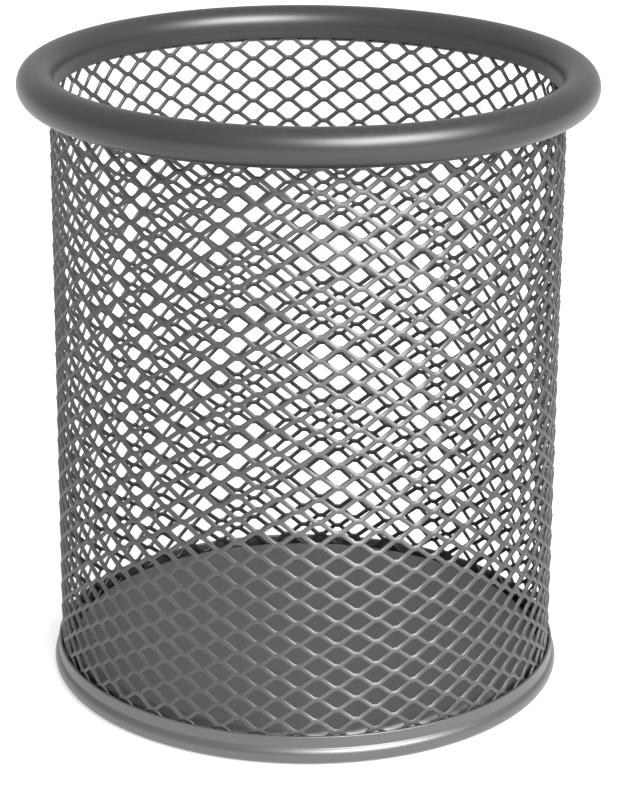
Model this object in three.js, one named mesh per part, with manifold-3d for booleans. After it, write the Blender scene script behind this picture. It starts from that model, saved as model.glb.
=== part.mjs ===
// Mesh pen cup: an expanded steel sleeve held between a rolled top rim and a
// pressed base pan. Millimetres, +Z up, origin at the centre of the standing face.
import * as THREE from 'three';
import * as BufferGeometryUtils from 'three/addons/utils/BufferGeometryUtils.js';
import Module from 'manifold-3d';

const wasm = await Module();
wasm.setup();

// ---- Driving dimensions ----
const HEIGHT = 100;                  // standing face to the top of the rim
const WALL_R = 40;                   // outside of the mesh sleeve
const GAP = 0.3;                     // air left between pieces that grip each other

// Expanded mesh: the long way of a diamond runs round the cup, the short way up it.
const MESH_THICKNESS = 0.5;
const COLUMNS = 21;                  // diamonds in one row round the cup
const ROWS = 25;                     // rows, each shifted half a diamond from the last
const ASPECT = 0.6;                  // short way of a diamond over its long way
const OPEN_SIDE = 0.81;              // side of an opening over the side of its diamond
const FIRST_ROW_Z = 5;               // centre of the lowest row
const SLEEVE_FOOT_Z = 1.1;           // lower edge, inside the base channel
const SLEEVE_NECK_Z = 95;            // where the top edge starts to turn outwards
const FLARE = 1.1;                   // how far the top edge turns out, and rises

// Rolled rim: a hollow bead, open only where the sleeve comes in.
const RIM_R = 42;                    // centre circle of the bead
const RIM_BEAD_R = 3;                // outside of the bead
const RIM_SHEET = 0.5;

// Base pan: a raised floor, a channel that takes the sleeve, and a hem curled up
// round the outside of it.
const PAN_SHEET = 0.5;
const FLOOR_Z = 4.5;                 // top of the floor
const CHANNEL_R = 38.2;              // outside of the floor's turned-down wall
const SHOULDER_R = 1.6;              // bend from the floor down into the channel
const FOOT_BEND_R = 0.8;             // bend from the wall out to the foot
const HEM_OUTER_R = 41.2;            // widest part of the cup's foot
const HEM_BEAD_R = 1.55;             // outside of the hem's bulge
const HEM_LIP_Z = 4.75;              // top of the lip that stands up round the mesh

// Facets
const ROUND_STEPS = 3 * COLUMNS;     // round the rim and the base pan
const BEAD_STEPS = 12;               // round the section of the bead
const BEND_STEPS = 3;                // in each bend of the base pan
const HEM_STEPS = 7;                 // round the hem's bulge
const WELD = 0.001;
const CUTTER_DEPTH = 8;

const paint = {
  mesh: new THREE.MeshStandardMaterial({ color: 0x8a898c, roughness: 0.45, metalness: 0.7 }),
  rim: new THREE.MeshStandardMaterial({ color: 0x828184, roughness: 0.35, metalness: 0.7 }),
  base: new THREE.MeshStandardMaterial({ color: 0x7c7a7d, roughness: 0.5, metalness: 0.6 }),
};

// ---- Helpers ----

// A piece of the cup as a named mesh.
function piece(name, geometry, material) {
  const mesh = new THREE.Mesh(geometry, material);
  mesh.name = name;
  return mesh;
}

// Turns a closed outline of (radius, height) points about the cup's axis.
function turned(outline, steps) {
  const geometry = new THREE.LatheGeometry(outline, steps);
  geometry.rotateX(Math.PI / 2);
  return geometry;
}

// A line of points moved sideways, with its corners mitred.
function besideLine(line, offset) {
  return line.map((point, i) => {
    const before = i > 0 ? point.clone().sub(line[i - 1]).normalize() : null;
    const after = i < line.length - 1 ? line[i + 1].clone().sub(point).normalize() : null;
    const along = (before ?? after).clone().add(after ?? before).normalize();
    const reach = offset / along.dot(before ?? after);
    return new THREE.Vector2(point.x - along.y * reach, point.y + along.x * reach);
  });
}

// Outline of a bent sheet that follows a line. A line that starts on the axis
// leaves the outline open there, so that it closes on the axis.
function sheetOutline(line, thickness) {
  const left = besideLine(line, thickness / 2);
  const right = besideLine(line, -thickness / 2);
  const outline = [...right, ...left.reverse()];
  if (line[0].x > 0) {
    outline.push(outline[0].clone());
  }
  return outline;
}

// Points of a circular arc, from one angle to another in degrees.
function arc(x, y, radius, from, to, steps) {
  const points = [];
  for (let i = 0; i <= steps; i += 1) {
    const angle = THREE.MathUtils.degToRad(THREE.MathUtils.lerp(from, to, i / steps));
    points.push(new THREE.Vector2(x + radius * Math.cos(angle), y + radius * Math.sin(angle)));
  }
  return points;
}

// A solid for cutting, from a closed geometry.
function solid(geometry) {
  const shared = geometry.clone();
  shared.deleteAttribute('normal');
  shared.deleteAttribute('uv');
  const merged = BufferGeometryUtils.mergeVertices(shared, 1e-4);
  const vertProperties = new Float32Array(merged.attributes.position.array);
  const triVerts = new Uint32Array(merged.index.array);
  return new wasm.Manifold(new wasm.Mesh({ numProp: 3, vertProperties, triVerts }));
}

// A geometry again, from a cut solid. Corners closer than the weld become one,
// and the empty triangles between them go.
function geometryOf(body) {
  const { vertProperties, triVerts } = body.getMesh();
  const cut = new THREE.BufferGeometry();
  cut.setAttribute('position', new THREE.BufferAttribute(vertProperties, 3));
  cut.setIndex(new THREE.BufferAttribute(triVerts, 1));
  const welded = BufferGeometryUtils.mergeVertices(cut, WELD);
  const kept = [];
  for (let i = 0; i < welded.index.count; i += 3) {
    const corners = [0, 1, 2].map((k) => welded.index.getX(i + k));
    if (new Set(corners).size === 3) {
      kept.push(...corners);
    }
  }
  welded.setIndex(kept);
  welded.computeVertexNormals();
  return welded;
}

// ---- Mesh sleeve ----

// One facet edge of the sleeve stands on the centre of every column of diamonds.
const halfColumn = Math.PI / COLUMNS;
const longWay = 2 * halfColumn * WALL_R;
const shortWay = longWay * ASPECT;

// A diamond-shaped cutter, standing across the wall at one place.
function diamondCutter(angle, z) {
  const halfLong = 0.5 * longWay * OPEN_SIDE;
  const halfShort = 0.5 * shortWay * OPEN_SIDE;
  const diamond = new THREE.Shape();
  diamond.moveTo(halfLong, 0);
  diamond.lineTo(0, halfShort);
  diamond.lineTo(-halfLong, 0);
  diamond.lineTo(0, -halfShort);
  diamond.closePath();
  const cutter = new THREE.ExtrudeGeometry(diamond, { depth: CUTTER_DEPTH, bevelEnabled: false });
  cutter.rotateX(Math.PI / 2);
  cutter.translate(0, WALL_R + CUTTER_DEPTH / 2, 0);
  cutter.rotateZ(angle);
  cutter.translate(0, 0, z);
  return cutter;
}

function meshSleeve() {
  const middle = WALL_R - MESH_THICKNESS / 2;
  const line = [
    new THREE.Vector2(middle, SLEEVE_FOOT_Z),
    new THREE.Vector2(middle, SLEEVE_NECK_Z),
    new THREE.Vector2(middle + FLARE, SLEEVE_NECK_Z + FLARE),
  ];
  const outline = sheetOutline(line, MESH_THICKNESS);
  let wall = solid(turned(outline, 2 * COLUMNS));
  for (let row = 0; row < ROWS; row += 1) {
    const z = FIRST_ROW_Z + row * shortWay / 2;
    const cutters = [];
    for (let column = 0; column < COLUMNS; column += 1) {
      const angle = (2 * column + row % 2) * halfColumn;
      cutters.push(diamondCutter(angle, z));
    }
    wall = wall.subtract(solid(BufferGeometryUtils.mergeGeometries(cutters)));
  }
  return geometryOf(wall);
}

// ---- Top rim ----

function topRim() {
  const centreZ = HEIGHT - RIM_BEAD_R;
  const slotInner = RIM_R - (WALL_R - MESH_THICKNESS - GAP);
  const slotOuter = RIM_R - (WALL_R + GAP);
  const from = 180 + THREE.MathUtils.radToDeg(Math.acos(slotOuter / RIM_BEAD_R));
  const to = 540 + THREE.MathUtils.radToDeg(Math.acos(slotInner / RIM_BEAD_R));
  const line = arc(RIM_R, centreZ, RIM_BEAD_R - RIM_SHEET / 2, from, to, BEAD_STEPS);
  return turned(sheetOutline(line, RIM_SHEET), ROUND_STEPS);
}

// ---- Base pan ----

function basePan() {
  const half = PAN_SHEET / 2;
  const floor = FLOOR_Z - half;
  const wall = CHANNEL_R - half;
  const hem = HEM_BEAD_R - half;
  const hemCentre = HEM_OUTER_R - HEM_BEAD_R;
  const lip = WALL_R + GAP + half;
  const curl = THREE.MathUtils.radToDeg(Math.acos((lip - hemCentre) / hem));
  const line = [
    new THREE.Vector2(0, floor),
    ...arc(wall - SHOULDER_R, floor - SHOULDER_R, SHOULDER_R, 90, 0, BEND_STEPS),
    ...arc(wall + FOOT_BEND_R, half + FOOT_BEND_R, FOOT_BEND_R, 180, 270, BEND_STEPS),
    ...arc(hemCentre, HEM_BEAD_R, hem, 270, 360 + curl, HEM_STEPS),
    new THREE.Vector2(lip, HEM_LIP_Z),
  ];
  return turned(sheetOutline(line, PAN_SHEET), ROUND_STEPS);
}

// ---- Assembly ----

const cup = new THREE.Group();
cup.add(piece('mesh_sleeve', meshSleeve(), paint.mesh));
cup.add(piece('top_rim', topRim(), paint.rim));
cup.add(piece('base_pan', basePan(), paint.base));

export default cup;
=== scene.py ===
"""Looks of a mesh pen cup, laid out as an add-on.

An expanded steel sleeve, a rolled top rim and a pressed base pan, each made in
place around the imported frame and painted, with a pale studio floor, a soft light,
white surroundings and a camera. Metres throughout.
"""

from math import acos, cos, pi, radians, sin

import bmesh
import bpy
from bpy.props import FloatProperty, FloatVectorProperty, IntProperty, PointerProperty
from bpy.types import Operator, Panel, PropertyGroup
from mathutils import Matrix, Vector


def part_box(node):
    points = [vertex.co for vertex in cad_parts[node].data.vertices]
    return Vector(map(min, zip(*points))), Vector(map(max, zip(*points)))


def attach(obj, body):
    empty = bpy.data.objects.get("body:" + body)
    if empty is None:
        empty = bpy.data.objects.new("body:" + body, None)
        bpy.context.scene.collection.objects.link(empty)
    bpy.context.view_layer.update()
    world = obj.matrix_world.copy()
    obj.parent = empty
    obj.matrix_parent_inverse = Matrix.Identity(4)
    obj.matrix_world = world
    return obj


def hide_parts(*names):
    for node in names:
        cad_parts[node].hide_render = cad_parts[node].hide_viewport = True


bl_info = {
    "name": "Mesh Pen Cup",
    "version": (1, 0, 0),
    "blender": (4, 5, 0),
    "location": "3D View > Sidebar > Pen Cup",
    "description": "Builds a pen cup of painted expanded steel, piece by piece",
    "category": "Object",
}

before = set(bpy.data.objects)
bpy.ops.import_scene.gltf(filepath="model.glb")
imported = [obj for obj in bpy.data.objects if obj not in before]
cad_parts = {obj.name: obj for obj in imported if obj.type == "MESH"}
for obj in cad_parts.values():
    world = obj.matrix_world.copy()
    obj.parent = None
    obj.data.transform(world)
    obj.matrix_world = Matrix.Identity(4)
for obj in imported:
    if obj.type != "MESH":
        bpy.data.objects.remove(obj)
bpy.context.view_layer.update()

MM = 0.001

# Where the frame puts the pieces.
RIM_LOW, RIM_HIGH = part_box("top_rim")
CUP_TOP = RIM_HIGH[2]
BEAD_RADIUS = (CUP_TOP - RIM_LOW[2]) / 2
RIM_RADIUS = RIM_HIGH[0] - BEAD_RADIUS
FOOT_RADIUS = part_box("base_pan")[1][0]


# ---- Sizes and colours ----


def length(name, description, default, **more):
    """A length in metres."""
    return FloatProperty(
        name=name, description=description, default=default, subtype="DISTANCE", unit="LENGTH",
        precision=5, **more)


def angle(name, description, degrees):
    """An angle."""
    return FloatProperty(
        name=name, description=description, default=radians(degrees), subtype="ANGLE",
        unit="ROTATION")


def colour(name, description, default):
    """A paint colour."""
    return FloatVectorProperty(
        name=name, description=description, default=default, subtype="COLOR", size=3, min=0, max=1)


class SleeveSizes(PropertyGroup):
    """Sizes of the expanded steel strip and of the tube it is rolled into."""

    radius: length("Radius", "Middle of the sheet, from the cup's axis", 39.65 * MM)
    long_way: length("Long way", "One diamond along the strip, bond to bond", 6.0 * MM)
    short_way: length("Short way", "One diamond across the strip, bond to bond", 3.6 * MM)
    strand: length("Strand", "Width of a strand", 0.6 * MM)
    bond: length("Bond", "Length of the uncut bond between two diamonds", 0.95 * MM)
    bond_squeeze: FloatProperty(
        name="Bond squeeze", description="How far an opening is closed up at its bonds",
        default=0.94, min=0.5, max=1, subtype="FACTOR")
    sheet: length("Sheet", "Thickness of the strip with its paint", 0.40 * MM)
    lean: length("Lean", "How far the edges of a strand stand out of the sheet", 0.22 * MM)
    round_edge: length("Edge", "Rounding of the strands by the paint", 0.08 * MM)
    foot: length("Foot", "Lowest row of bonds, inside the base channel", 1.6 * MM)
    columns: IntProperty(name="Columns", description="Half diamonds along the strip", default=85)
    rows: IntProperty(name="Rows", description="Half diamonds across the strip", default=53)
    pitch: angle("Pitch", "Turn of one half diamond round the cup", 4.335)
    front: angle("Front", "Turn of the column of diamonds nearest the front", -1.7)
    start_column: IntProperty(
        name="Start", description="Columns on the left of the front one", default=60)
    lap_step: length("Lap step", "How far the strip's inner end steps in at the lap", 0.5 * MM)


class RimSizes(PropertyGroup):
    """Sizes of the rolled bead."""

    radius: length("Radius", "Centre circle of the bead", RIM_RADIUS)
    bead: length("Bead", "Outside radius of the bead", BEAD_RADIUS)
    sheet: length("Sheet", "Thickness of the rolled strip", 0.5 * MM)
    outer_lip: angle("Outer lip", "Where round the bead the lip outside the mesh ends", 233)
    inner_lip: angle("Inner lip", "Where round the bead the lip inside the mesh starts", 196)
    lip_drop: length("Lip drop", "How far the inner lip runs down the mesh", 1.25 * MM)


class BaseSizes(PropertyGroup):
    """Sizes of the pressed pan: floor, channel, foot and hem."""

    sheet: length("Sheet", "Thickness of the pan", 0.5 * MM)
    floor: length("Floor", "Top of the floor above the desk", 4.5 * MM)
    channel: length("Channel", "Outside of the floor's turned-down wall", 38.2 * MM)
    shoulder: length("Shoulder", "Bend from the floor into the channel", 1.6 * MM)
    foot_bend: length("Foot bend", "Bend from the channel's wall into the foot", 0.8 * MM)
    hem: length("Hem", "Outside of the hem at its widest", FOOT_RADIUS)
    hem_bead: length("Hem bead", "Outside radius of the hem's bulge", 1.55 * MM)
    lip: length("Lip", "Outside of the lip that stands up round the mesh", 40.5 * MM)
    lip_height: length("Lip height", "Top of the lip", 4.75 * MM)


class Paints(PropertyGroup):
    """Colours of the painted pieces."""

    mesh: colour("Mesh", "Silver-grey paint on the mesh", (0.114, 0.112, 0.114))
    rim: colour("Rim", "Silver-grey paint on the rim", (0.069, 0.068, 0.069))
    base: colour("Base", "Silver-grey paint on the base", (0.174, 0.168, 0.172))
    worn: colour("Worn", "Paint rubbed lighter on edges", (0.26, 0.26, 0.265))


class StageSizes(PropertyGroup):
    """Camera, floor and light."""

    distance: length("Distance", "Camera in front of the cup's axis", 423.8 * MM)
    height: length("Height", "Camera above the floor", 195.5 * MM)
    pitch: angle("Pitch", "Camera turned down", 19.60)
    yaw: angle("Yaw", "Camera turned right", 0.265)
    roll: angle("Roll", "Camera rolled", 0.43)
    lens: FloatProperty(name="Lens", description="Focal length in millimetres", default=126.2)
    floor: length("Floor", "Half the width of the floor", 12.0)
    floor_glow: FloatProperty(
        name="Floor glow", description="Light that the floor gives off itself", default=0.55)
    key_distance: length("Key distance", "Key light from the middle of the cup", 1.2)
    key_width: length("Key width", "Width of the key light's face", 0.85)
    key_height: length("Key height", "Height of the key light's face", 0.6)
    key_power: FloatProperty(
        name="Key", description="Power of the key light in watts", default=28.5, unit="POWER")
    key_turn: angle("Key turn", "Key light to the right of the camera", 35)
    key_rise: angle("Key rise", "Key light above the floor", 43)
    sky: FloatProperty(name="Sky", description="Strength of the white surroundings", default=0.76)


class PenCup(PropertyGroup):
    """Everything a user would change."""

    sleeve: PointerProperty(type=SleeveSizes)
    rim: PointerProperty(type=RimSizes)
    base: PointerProperty(type=BaseSizes)
    paints: PointerProperty(type=Paints)
    stage: PointerProperty(type=StageSizes)


# ---- Finishes ----

# The colour sockets of a Mix node, whose names are those of its other sockets too.
MIX_SHARE, MIX_FIRST, MIX_SECOND, MIX_RESULT = 0, 6, 7, 2

BUMP_STRENGTH = 0.12
METAL = 0.8


class Wire:
    """A shader socket that can stand in a sum."""

    def __init__(self, finish, socket):
        self.finish = finish
        self.socket = socket

    def output(self, name):
        """Another output of the same node."""
        return Wire(self.finish, self.socket.node.outputs[name])

    def reckon(self, operation, first, second):
        """A Math node on two values."""
        return self.finish.node("ShaderNodeMath", {"operation": operation}, {0: first, 1: second})

    def __add__(self, other):
        return self.reckon("ADD", self, other)

    def __sub__(self, other):
        return self.reckon("SUBTRACT", self, other)

    def __rsub__(self, other):
        return self.reckon("SUBTRACT", other, self)

    def __mul__(self, other):
        return self.reckon("MULTIPLY", self, other)

    __radd__ = __add__


class Finish:
    """A material that is built up from shader nodes."""

    def __init__(self, name):
        self.material = bpy.data.materials.new(name)
        self.material.use_nodes = True
        self.tree = self.material.node_tree
        self.tree.nodes.clear()

    def node(self, kind, settings=None, sockets=None):
        """Adds a node: its settings first, then its sockets' values or links."""
        made = self.tree.nodes.new(kind)
        for name, value in (settings or {}).items():
            setattr(made, name, value)
        for key, value in (sockets or {}).items():
            if isinstance(value, Wire):
                self.tree.links.new(value.socket, made.inputs[key])
            else:
                made.inputs[key].default_value = value
        return Wire(self, made.outputs[0]) if made.outputs else None

    def noise(self, place, scale, detail):
        """Clouds from 0 to 1; the scale is in clouds per metre."""
        return self.node("ShaderNodeTexNoise", {}, {
            "Vector": place, "Scale": scale, "Detail": detail, "Roughness": 0.55})

    def ramp(self, value, low, high):
        """0 under low, 1 over high, and smooth between."""
        return self.node("ShaderNodeMapRange", {"interpolation_type": "SMOOTHSTEP"}, {
            "Value": value, "From Min": low, "From Max": high})

    def mix(self, share, first, second):
        """A colour between two."""
        mixed = self.node("ShaderNodeMix", {"data_type": "RGBA"}, {
            MIX_SHARE: share, MIX_FIRST: first, MIX_SECOND: second})
        return mixed.output(MIX_RESULT)

    def coat(self, cloud, paint, thin, thick):
        """A paint that clouds slowly from a darker shade of itself to a lighter one."""
        return self.mix(self.ramp(cloud, 0.3, 0.7), rgba(paint, thin), rgba(paint, thick))

    def texture(self, height, depth):
        """A fine unevenness of the surface, for its Normal socket."""
        return self.node("ShaderNodeBump", {}, {
            "Strength": BUMP_STRENGTH, "Distance": depth, "Height": height})

    def satin(self, shade, roughness, normal):
        """The paint itself: a smooth satin coat with metal flake in it."""
        paint = self.node("ShaderNodeBsdfPrincipled", {}, {
            "Base Color": shade, "Roughness": roughness, "Normal": normal,
            "Metallic": METAL, "IOR": 1.5, "Specular IOR Level": 0.5})
        self.node("ShaderNodeOutputMaterial", {}, {"Surface": paint})


def rgba(shade, factor=1.0):
    """A colour with its alpha, and lighter or darker."""
    return (*(min(1.0, c * factor) for c in shade), 1.0)


# ---- Making a piece ----

CUT_EDGE = radians(50)
WELD = 0.001 * MM
NECK_STEPS = 3


def finish_piece(name, bm, material, node):
    """Turns a bmesh into a finished piece that stands for a node of the frame."""
    for face in bm.faces:
        face.smooth = True
    mesh = bpy.data.meshes.new(name)
    bm.to_mesh(mesh)
    bm.free()
    mesh.materials.append(material)
    made = bpy.data.objects.new(name, mesh)
    bpy.context.scene.collection.objects.link(made)
    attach(made, "root")
    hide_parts(node)
    return made


def thicken(piece, thickness, rounding, segments):
    """Gives a sheet its thickness, half on each side, and rounds its cut edges."""
    sheet = piece.modifiers.new("sheet", "SOLIDIFY")
    sheet.thickness = thickness
    sheet.offset = 0
    sheet.use_even_offset = True
    edges = piece.modifiers.new("edges", "BEVEL")
    edges.width = rounding
    edges.segments = segments
    edges.limit_method = "ANGLE"
    edges.angle_limit = CUT_EDGE


def bent_line(bm, points):
    """A line through (radius, height) points in the XZ plane."""
    verts = [bm.verts.new((x, 0, z)) for x, z in points]
    for first, second in zip(verts, verts[1:]):
        bm.edges.new((first, second))
    return verts


def round_corner(bm, corner, radius, segments):
    """Rounds one corner of a bent line."""
    bmesh.ops.bevel(
        bm, geom=[corner], offset=radius, offset_type="OFFSET", segments=segments, profile=0.5,
        affect="VERTICES", material=-1)


def spin_round(bm, steps):
    """Turns the whole line about the cup's axis into a closed skin facing out."""
    bmesh.ops.spin(
        bm, geom=bm.verts[:] + bm.edges[:], cent=(0, 0, 0), axis=(0, 0, 1), angle=2 * pi,
        steps=steps, use_merge=True)
    bmesh.ops.remove_doubles(bm, verts=bm.verts[:], dist=WELD)
    bmesh.ops.recalc_face_normals(bm, faces=bm.faces[:])


# ---- Mesh sleeve ----


def expanded_strip(sizes):
    """A flat strip of expanded metal: X along it, Y across it, Z out of it.

    A grid of half diamonds loses every other edge that runs along the strip, which
    leaves a wall of bricks stood on end. Its corners slide along X, two and two
    together, until each brick is a diamond with short bonds at its top and bottom,
    and each diamond is then opened.
    """
    half_long = sizes.long_way / 2
    half_short = sizes.short_way / 2
    wide = sizes.columns * half_long
    high = sizes.rows * half_short
    bm = bmesh.new()
    place = Matrix.Translation((wide / 2, high / 2, 0)) @ Matrix.Diagonal((wide, high, 1, 1))
    bmesh.ops.create_grid(
        bm, x_segments=sizes.columns, y_segments=sizes.rows, size=0.5, matrix=place)

    def is_odd(point):
        """Odd and even places alternate along the rows and from row to row."""
        return round(point.x / half_long - 0.5) + round(point.y / half_short) & 1

    spare = []
    for edge in bm.edges:
        first, second = (v.co for v in edge.verts)
        middle = (first + second) / 2
        along = abs(first.y - second.y) < half_short / 2
        if along and not edge.is_boundary and is_odd(middle):
            spare.append(edge)
    half_place = Vector((half_long / 2, 0, 0))
    odd = [v for v in bm.verts if is_odd(v.co + half_place)]
    even = [v for v in bm.verts if not is_odd(v.co + half_place)]
    bmesh.ops.dissolve_edges(bm, edges=spare, use_verts=False, use_face_split=False)
    slide = (half_long - sizes.bond) / 2
    bmesh.ops.translate(bm, verts=odd, vec=(-slide, 0, 0))
    bmesh.ops.translate(bm, verts=even, vec=(slide, 0, 0))

    diamonds = bm.faces[:]
    bmesh.ops.inset_individual(
        bm, faces=diamonds, thickness=sizes.strand / 2, depth=0, use_even_offset=True)
    for diamond in diamonds:
        centre = diamond.calc_center_bounds()
        for vert in diamond.verts:
            rise = vert.co.y - centre.y
            vert.co.y = centre.y + rise * sizes.bond_squeeze
            at_bond = abs(rise) > half_short / 4
            if at_bond:
                vert.co.z = sizes.lean if rise > 0 else -sizes.lean
    bmesh.ops.delete(bm, geom=diamonds, context="FACES_ONLY")
    return bm


def smooth_step(low, high, value):
    """0 under low, 1 over high, and smooth between."""
    share = min(1.0, max(0.0, (value - low) / (high - low)))
    return share * share * (3 - 2 * share)


# The sleeve turns out inside the rim. Its strands are pressed flat where the rim
# and the base close on them.
NECK_FROM, NECK_TO, NECK_OUT = 95.1 * MM, 97.4 * MM, 1.9 * MM
RIM_PRESS_FROM, RIM_PRESS_TO, RIM_PRESS_OUT = 92.6 * MM, 94.6 * MM, 0.12 * MM
BASE_PRESS_FROM, BASE_PRESS_TO = 6.4 * MM, 4.8 * MM

# The lap is two columns wide. The strip eases back into the round before the fifth.
LAP_COLUMNS = 2
LAP_EASE_COLUMNS = 5

MESH_WEAR = 0.35
MESH_GRAIN = 0.02 * MM


def roll_sleeve(bm, sizes):
    """Rolls the flat strip into the sleeve, with its inner end stepped in under the lap."""
    half_long = sizes.long_way / 2
    for vert in bm.verts:
        column = vert.co.x / half_long - 0.5 - sizes.start_column
        turn = sizes.front + sizes.pitch * column
        height = sizes.foot + vert.co.y
        from_end = sizes.columns - vert.co.x / half_long
        rim_press = smooth_step(RIM_PRESS_FROM, RIM_PRESS_TO, height)
        base_press = smooth_step(-BASE_PRESS_FROM, -BASE_PRESS_TO, -height)
        radius = sizes.radius + vert.co.z * (1 - rim_press) * (1 - base_press)
        radius += RIM_PRESS_OUT * rim_press
        radius += NECK_OUT * smooth_step(NECK_FROM, NECK_TO, height)
        radius -= sizes.lap_step * (1 - smooth_step(LAP_COLUMNS, LAP_EASE_COLUMNS, from_end))
        vert.co = (radius * sin(turn), -radius * cos(turn), height)


def mesh_paint(paints):
    """Satin silver-grey paint, flecked, and rubbed here and there on the strands."""
    finish = Finish("mesh_paint")
    place = finish.node("ShaderNodeTexCoord").output("Object")
    cloud = finish.noise(place, 45, 3)
    fleck = finish.noise(place, 2600, 2)
    grain = finish.noise(place, 5200, 2)
    rubbed = finish.ramp(cloud * 0.6 + fleck * 0.4, 0.56, 0.74)
    coat = finish.coat(cloud, paints.mesh, 0.94, 1.07)
    shade = finish.mix(rubbed * MESH_WEAR, coat, rgba(paints.worn))
    roughness = 0.42 + fleck * 0.12 - rubbed * 0.05
    finish.satin(shade, roughness, finish.texture(grain, MESH_GRAIN))
    return finish.material


class PENCUP_OT_mesh_sleeve(Operator):
    """Roll the expanded steel sleeve"""

    bl_idname = "pencup.mesh_sleeve"
    bl_label = "Mesh Sleeve"

    def execute(self, context):
        cup = context.scene.pen_cup
        bm = expanded_strip(cup.sleeve)
        roll_sleeve(bm, cup.sleeve)
        sleeve = finish_piece(
            "expanded_sleeve", bm, mesh_paint(cup.paints), "mesh_sleeve")
        thicken(sleeve, cup.sleeve.sheet, cup.sleeve.round_edge, segments=1)
        return {"FINISHED"}


# ---- Top rim ----

RIM_STEPS = 256
BEAD_STEPS = 32
RIM_NECK_BEND = 0.4 * MM
RIM_ROUND_EDGE = 0.12 * MM
RIM_PEEL = 0.03 * MM
CROWN_DEPTH = 1.2 * MM
CROWN_WEAR = 0.12


def rim_paint(paints):
    """Smooth satin paint with a faint orange peel and light rubbing on the crown."""
    finish = Finish("rim_paint")
    place = finish.node("ShaderNodeTexCoord").output("Object")
    cloud = finish.noise(place, 30, 3)
    peel = finish.noise(place, 1100, 2)
    scuff = finish.noise(place, 900, 6)
    height = finish.node("ShaderNodeSeparateXYZ", {}, {0: place}).output("Z")
    crown = finish.ramp(height, CUP_TOP - CROWN_DEPTH, CUP_TOP)
    rubbed = crown * finish.ramp(scuff, 0.5, 0.75)
    coat = finish.coat(cloud, paints.rim, 0.95, 1.06)
    shade = finish.mix(rubbed * CROWN_WEAR, coat, rgba(paints.worn))
    roughness = 0.33 + cloud * 0.08 + rubbed * 0.08
    finish.satin(shade, roughness, finish.texture(peel, RIM_PEEL))
    return finish.material


class PENCUP_OT_top_rim(Operator):
    """Roll the bead that closes over the sleeve's upper edge"""

    bl_idname = "pencup.top_rim"
    bl_label = "Top Rim"

    def execute(self, context):
        cup = context.scene.pen_cup
        sizes = cup.rim
        middle = sizes.bead - sizes.sheet / 2
        centre = Vector((sizes.radius, 0, CUP_TOP - sizes.bead))
        bm = bmesh.new()
        way = Vector((cos(sizes.outer_lip), 0, sin(sizes.outer_lip)))
        outer_lip = bm.verts.new(centre + way * middle)
        around = 2 * pi - (sizes.outer_lip - sizes.inner_lip)
        bead = bmesh.ops.spin(
            bm, geom=[outer_lip], cent=centre, axis=(0, -1, 0), angle=around, steps=BEAD_STEPS)
        neck = bead["geom_last"][0]
        inner_lip = bmesh.ops.extrude_vert_indiv(bm, verts=[neck])["verts"][0]
        inner_lip.co.z -= sizes.lip_drop
        round_corner(bm, neck, RIM_NECK_BEND, NECK_STEPS)
        spin_round(bm, RIM_STEPS)
        rim = finish_piece("rolled_rim", bm, rim_paint(cup.paints), "top_rim")
        thicken(rim, sizes.sheet, RIM_ROUND_EDGE, segments=2)
        return {"FINISHED"}


# ---- Base pan ----

BASE_STEPS = 256
FLOOR_RINGS = 5
SHOULDER_STEPS = 8
FOOT_BEND_STEPS = 5
HEM_STEPS = 12
HEM_NECK_BEND = 0.26 * MM
BASE_ROUND_EDGE = 0.14 * MM
BASE_PEEL = 0.03 * MM

# Going up, the rubbing of the foot ends over the first span. Going outwards, the hem's
# glossier finish and its painted shade start over the second.
FOOT_RUBBED = 0.1 * MM, 0.9 * MM
HEM_STARTS = 38.6 * MM, 39.1 * MM
FOOT_WEAR = 0.5
HEM_PAINTED_SHADE = 0.2


def base_paint(paints):
    """Satin paint, glossier on the hem and darkened there as painted shade, and rubbed round the
    foot.
    """
    finish = Finish("base_paint")
    place = finish.node("ShaderNodeTexCoord").output("Object")
    height = finish.node("ShaderNodeSeparateXYZ", {}, {0: place}).output("Z")
    cloud = finish.noise(place, 28, 3)
    peel = finish.noise(place, 1300, 2)
    scuff = finish.noise(place, 300, 6)
    foot = 1 - finish.ramp(height, *FOOT_RUBBED)
    rubbed = foot * finish.ramp(scuff, 0.4, 0.65)
    flat = finish.node("ShaderNodeVectorMath", {"operation": "MULTIPLY"}, {0: place, 1: (1, 1, 0)})
    radius = finish.node("ShaderNodeVectorMath", {"operation": "LENGTH"}, {0: flat}).output("Value")
    hem = finish.ramp(radius, *HEM_STARTS)
    coat = finish.coat(cloud, paints.base, 0.96, 1.05)
    shade = finish.mix(rubbed * FOOT_WEAR, coat, rgba(paints.worn))
    # Painted shade: the paint on the hem is darkened to stand in for the shade that falls on it.
    shade = finish.mix(hem * HEM_PAINTED_SHADE, shade, rgba(paints.base, 0.2))
    roughness = 0.42 + cloud * 0.08 - hem * 0.08
    finish.satin(shade, roughness, finish.texture(peel, BASE_PEEL))
    return finish.material


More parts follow.
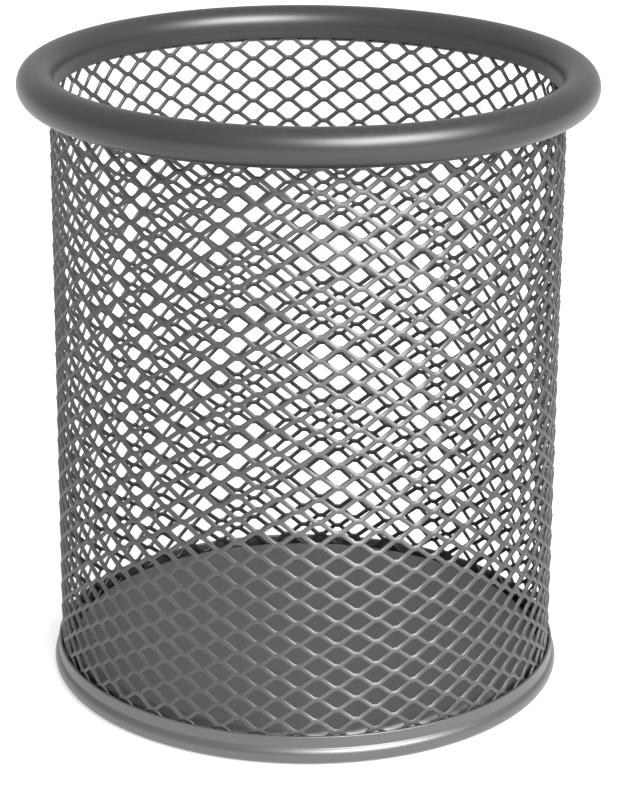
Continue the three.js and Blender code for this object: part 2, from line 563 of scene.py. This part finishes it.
class PENCUP_OT_base_pan(Operator):
    """Press the base pan and crimp its hem round the sleeve"""

    bl_idname = "pencup.base_pan"
    bl_label = "Base Pan"

    def execute(self, context):
        cup = context.scene.pen_cup
        sizes = cup.base
        half = sizes.sheet / 2
        wall = sizes.channel - half
        hem = Vector((sizes.hem - sizes.hem_bead, 0, sizes.hem_bead))
        lip = sizes.lip - half
        curl = acos((lip - hem.x) / (sizes.hem_bead - half))
        bm = bmesh.new()
        corners = bent_line(bm, [
            (0, sizes.floor - half),
            (wall, sizes.floor - half),
            (wall, half),
            (hem.x, half),
        ])
        bulge = bmesh.ops.spin(
            bm, geom=[corners[3]], cent=hem, axis=(0, -1, 0), angle=pi / 2 + curl,
            steps=HEM_STEPS)
        neck = bulge["geom_last"][0]
        lip_top = bmesh.ops.extrude_vert_indiv(bm, verts=[neck])["verts"][0]
        lip_top.co = (lip, 0, sizes.lip_height)
        round_corner(bm, corners[1], sizes.shoulder, SHOULDER_STEPS)
        round_corner(bm, corners[2], sizes.foot_bend, FOOT_BEND_STEPS)
        round_corner(bm, neck, HEM_NECK_BEND, NECK_STEPS)
        bmesh.ops.subdivide_edges(bm, edges=corners[0].link_edges[:], cuts=FLOOR_RINGS)
        spin_round(bm, BASE_STEPS)
        pan = finish_piece("pressed_base", bm, base_paint(cup.paints), "base_pan")
        thicken(pan, sizes.sheet, BASE_ROUND_EDGE, segments=2)
        return {"FINISHED"}


# ---- Stage ----

FLOOR_DARK, FLOOR_LIGHT = (0.56, 0.56, 0.56), (0.6, 0.6, 0.6)
SENSOR_WIDTH = 36
WHITE = (1, 1, 1, 1)


def studio_floor(half_width, glow):
    """A plain pale floor that glows a little."""
    bm = bmesh.new()
    bmesh.ops.create_grid(bm, x_segments=1, y_segments=1, size=half_width)
    mesh = bpy.data.meshes.new("studio_floor")
    bm.to_mesh(mesh)
    bm.free()
    finish = Finish("studio_white")
    place = finish.node("ShaderNodeTexCoord").output("Object")
    cloud = finish.noise(place, 3, 2)
    shade = finish.mix(cloud, rgba(FLOOR_DARK), rgba(FLOOR_LIGHT))
    paint = finish.node("ShaderNodeBsdfPrincipled", {}, {
        "Base Color": shade, "Roughness": 0.9, "Emission Color": WHITE,
        "Emission Strength": glow})
    finish.node("ShaderNodeOutputMaterial", {}, {"Surface": paint})
    mesh.materials.append(finish.material)
    floor = bpy.data.objects.new("studio_floor", mesh)
    # The cup mirrors the floor, but takes no soft light from it.
    floor.visible_diffuse = False
    bpy.context.scene.collection.objects.link(floor)


def studio_camera(sizes):
    """The camera, in front of the cup and looking down on it."""
    camera = bpy.data.cameras.new("camera")
    camera.sensor_fit = "AUTO"
    camera.sensor_width = SENSOR_WIDTH
    camera.lens = sizes.lens
    camera.clip_start = 10 * MM
    made = bpy.data.objects.new("camera", camera)
    bpy.context.scene.collection.objects.link(made)
    made.matrix_world = (
        Matrix.Translation((0, -sizes.distance, sizes.height))
        @ Matrix.Rotation(-sizes.yaw, 4, "Z")
        @ Matrix.Rotation(pi / 2 - sizes.pitch, 4, "X")
        @ Matrix.Rotation(sizes.roll, 4, "Z"))
    bpy.context.scene.camera = made


def soft_light(name, sizes):
    """The key light: a soft box that looks at the middle of the cup."""
    light = bpy.data.lights.new(name, "AREA")
    light.shape = "RECTANGLE"
    light.size = sizes.key_width
    light.size_y = sizes.key_height
    light.energy = sizes.key_power
    turn, rise = sizes.key_turn, sizes.key_rise
    way = Vector((sin(turn) * cos(rise), -cos(turn) * cos(rise), sin(rise)))
    middle = Vector((0, 0, CUP_TOP / 2))
    made = bpy.data.objects.new(name, light)
    bpy.context.scene.collection.objects.link(made)
    turned = way.to_track_quat("Z", "Y").to_matrix().to_4x4()
    made.matrix_world = Matrix.Translation(middle + way * sizes.key_distance) @ turned


class PENCUP_OT_stage(Operator):
    """Set the pale floor, the camera, the soft light and the white surroundings"""

    bl_idname = "pencup.stage"
    bl_label = "Stage"

    def execute(self, context):
        sizes = context.scene.pen_cup.stage
        studio_floor(sizes.floor, sizes.floor_glow)
        studio_camera(sizes)
        soft_light("key_light", sizes)
        world = bpy.data.worlds.new("studio")
        world.use_nodes = True
        background = world.node_tree.nodes["Background"]
        background.inputs["Color"].default_value = WHITE
        background.inputs["Strength"].default_value = sizes.sky
        context.scene.world = world
        context.scene.view_settings.view_transform = "Standard"
        return {"FINISHED"}


# ---- Panel ----

MAKERS = (PENCUP_OT_stage, PENCUP_OT_mesh_sleeve, PENCUP_OT_top_rim, PENCUP_OT_base_pan)


class PENCUP_PT_panel(Panel):
    """The cup's makers, and the sizes that they read"""

    bl_idname = "PENCUP_PT_panel"
    bl_label = "Pen Cup"
    bl_space_type = "VIEW_3D"
    bl_region_type = "UI"
    bl_category = "Pen Cup"

    def draw(self, context):
        layout = self.layout
        for maker in MAKERS:
            layout.operator(maker.bl_idname)
        cup = context.scene.pen_cup
        for group in (cup.sleeve, cup.rim, cup.base, cup.paints, cup.stage):
            box = layout.box()
            for name in group.bl_rna.properties.keys():
                if name not in {"rna_type", "name"}:
                    box.prop(group, name)


CLASSES = (
    SleeveSizes, RimSizes, BaseSizes, Paints, StageSizes, PenCup, *MAKERS, PENCUP_PT_panel)


def register():
    """Make the classes and the scene's sizes known."""
    for made in CLASSES:
        bpy.utils.register_class(made)
    bpy.types.Scene.pen_cup = PointerProperty(type=PenCup)


def unregister():
    """Take them away again."""
    del bpy.types.Scene.pen_cup
    for made in reversed(CLASSES):
        bpy.utils.unregister_class(made)


def main():
    """Build the cup and its stage."""
    register()
    bpy.ops.pencup.stage()
    bpy.ops.pencup.mesh_sleeve()
    bpy.ops.pencup.top_rim()
    bpy.ops.pencup.base_pan()


if __name__ == "__main__":
    main()
